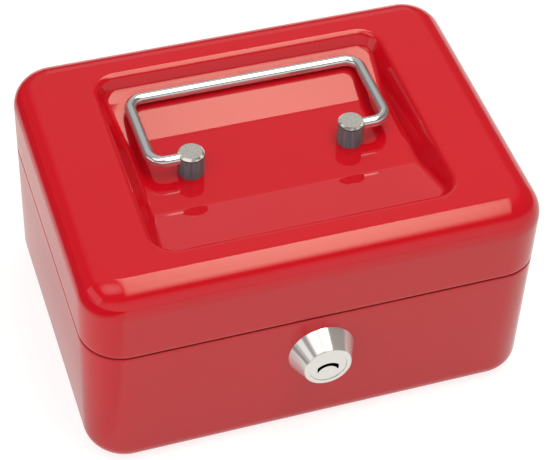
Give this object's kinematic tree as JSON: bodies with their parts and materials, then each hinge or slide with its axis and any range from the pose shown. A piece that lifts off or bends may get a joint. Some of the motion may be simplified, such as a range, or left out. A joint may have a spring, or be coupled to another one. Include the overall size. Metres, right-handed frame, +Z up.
{
  "type": "cash box",
  "caption": "Small lockable cash box of drawn sheet steel with a hinged lid, folding wire handle in a recess, cylinder lock in front and a lift-out coin tray",
  "frame": {"origin": "middle of the flat underside, on the surface the box stands on", "axes": "+X to the right seen from the lock side, -Y to the front where the lock is, +Z up"},
  "size_m": [0.152, 0.1212, 0.08],
  "materials": {
    "red_paint": "glossy powder coat, smooth",
    "handle_chrome": "bright chrome plate",
    "post_nickel": "satin nickel plate",
    "lock_chrome": "polished chrome plate",
    "zinc_steel": "bright zinc plate",
    "tray_plastic": "fine matt moulded"
  },
  "bodies": {
    "base": {"base_shell": "red_paint", "hinge_leaf_base": "red_paint", "hinge_pin": "zinc_steel", "lock_housing": "lock_chrome", "lock_washer": "zinc_steel", "lock_nut": "zinc_steel"},
    "lid": {"lid_shell": "red_paint", "hinge_leaf_lid": "red_paint", "lid_strike": "zinc_steel", "handle_post_left": "post_nickel", "handle_post_right": "post_nickel", "post_washers": "zinc_steel", "post_screws": "zinc_steel"},
    "handle": {"carry_handle": "handle_chrome"},
    "lock": {"lock_plug": "lock_chrome", "lock_cam": "zinc_steel", "cam_washer": "zinc_steel", "cam_screw": "zinc_steel"},
    "tray": {"coin_tray": "tray_plastic"}
  },
  "joints": [
    {"name": "lid_hinge", "type": "hinge", "parent": "base", "child": "lid", "pos_m": [0, 0.0554, 0.0526], "axis": [-1, 0, 0], "range_deg": [0, 98]},
    {"name": "handle_swing", "type": "hinge", "parent": "lid", "child": "handle", "pos_m": [0, 0, 0.0767], "axis": [1, 0, 0], "range_deg": [0, 177]},
    {"name": "lock_turn", "type": "hinge", "parent": "base", "child": "lock", "pos_m": [0, -0.057, 0.036], "axis": [0, -1, 0], "range_deg": [0, 90]},
    {"name": "tray_lift", "type": "slide", "parent": "base", "child": "tray", "axis": [0, 0, 1], "range_m": [0, 0.006]}
  ]
}
